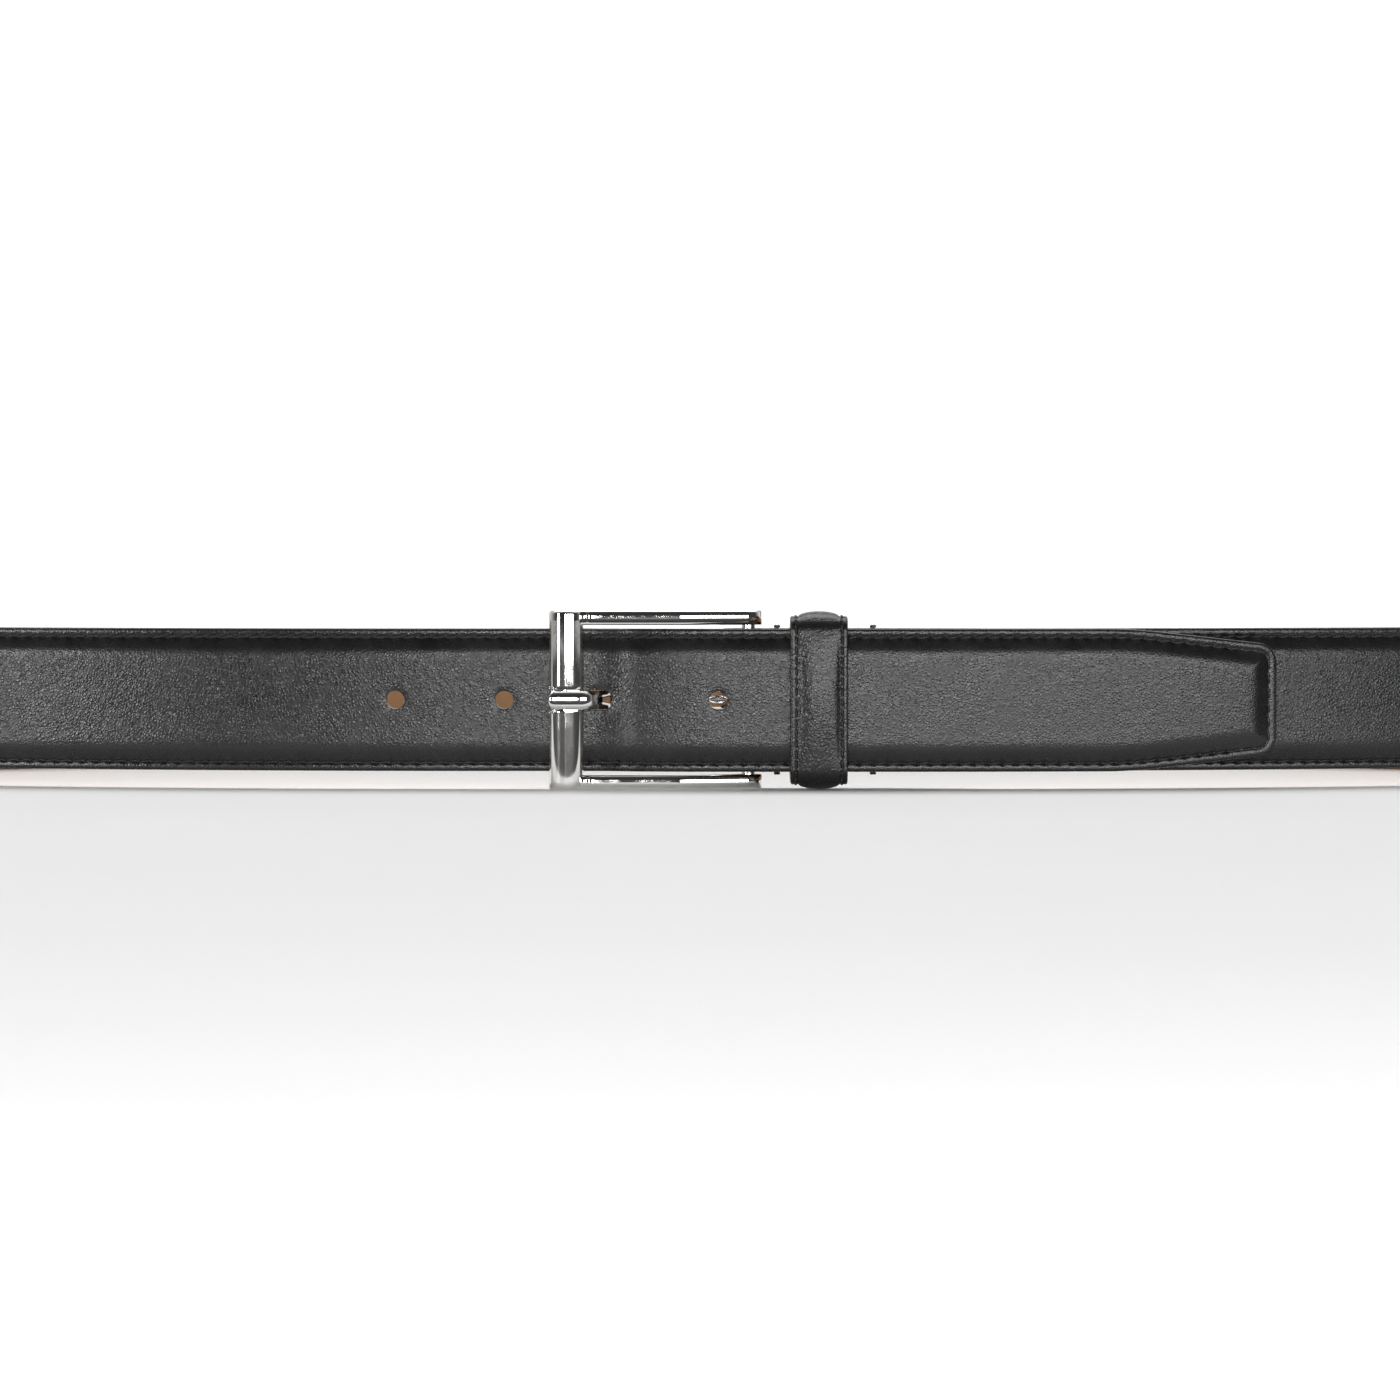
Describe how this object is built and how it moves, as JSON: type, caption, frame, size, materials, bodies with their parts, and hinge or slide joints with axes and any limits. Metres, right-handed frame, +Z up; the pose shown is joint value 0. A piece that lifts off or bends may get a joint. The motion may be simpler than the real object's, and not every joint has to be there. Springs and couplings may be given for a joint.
{
  "type": "leather belt",
  "caption": "Black padded leather dress belt with a polished metal prong buckle, one stitched sliding keeper and a blunt tapered tip, buckled in a closed loop and standing on its edge.",
  "frame": {"origin": "on the ground under the middle of the loop, half way from the keeper's raised front to the back of the loop", "axes": "+Z up across the strap's width, +X along the front of the belt from the buckle towards the tip, -Y out of the front of the belt, which is where the buckle faces"},
  "size_m": [0.4018, 0.154, 0.0414],
  "materials": {
    "black_leather": "fine grained, semi-gloss, edges inked black",
    "tan_leather": "smooth, matt",
    "padding_board": "bonded leather board, matt",
    "black_thread": "waxed polyester thread",
    "polished_metal": "mirror polished nickel plate on a zinc casting",
    "bar_steel": "plain drawn steel"
  },
  "bodies": {
    "strap": {"strap_outer_leather": "black_leather", "strap_filler": "padding_board", "strap_lining": "tan_leather", "upper_edge_stitching": "black_thread", "lower_edge_stitching": "black_thread", "buckle_side_turnback_stitching": "black_thread", "far_side_turnback_stitching": "black_thread"},
    "buckle": {"buckle_frame": "polished_metal", "hinge_bar": "bar_steel"},
    "prong": {"prong": "polished_metal"},
    "keeper": {"keeper_outer_leather": "black_leather", "keeper_padding": "padding_board", "keeper_lining": "tan_leather", "keeper_left_stitching": "black_thread", "keeper_right_stitching": "black_thread", "keeper_staple": "bar_steel"},
    "tip": {"tip_outer_leather": "black_leather", "tip_filler": "padding_board", "tip_lining": "tan_leather", "tip_stitching": "black_thread"}
  },
  "joints": [
    {"name": "buckle_pivot", "type": "hinge", "parent": "strap", "child": "buckle", "pos_m": [0.0112, -0.06553, 0.0207], "axis": [0, 0, 1], "range_deg": [0, 1.5]},
    {"name": "prong_pivot", "type": "hinge", "parent": "buckle", "child": "prong", "pos_m": [0.0112, -0.06553, 0.0207], "axis": [0, 0, 1], "range_deg": [0, 1]},
    {"name": "keeper_slide", "type": "slide", "parent": "strap", "child": "keeper", "axis": [1, 0, 0], "range_m": [-0.0025, 0.0055]},
    {"name": "tip_flex", "type": "hinge", "parent": "strap", "child": "tip", "pos_m": [0.046, -0.07363, 0.0207], "axis": [0, 0, -1], "range_deg": [0, 35], "stiffness_Nm_per_rad": 0.02}
  ]
}
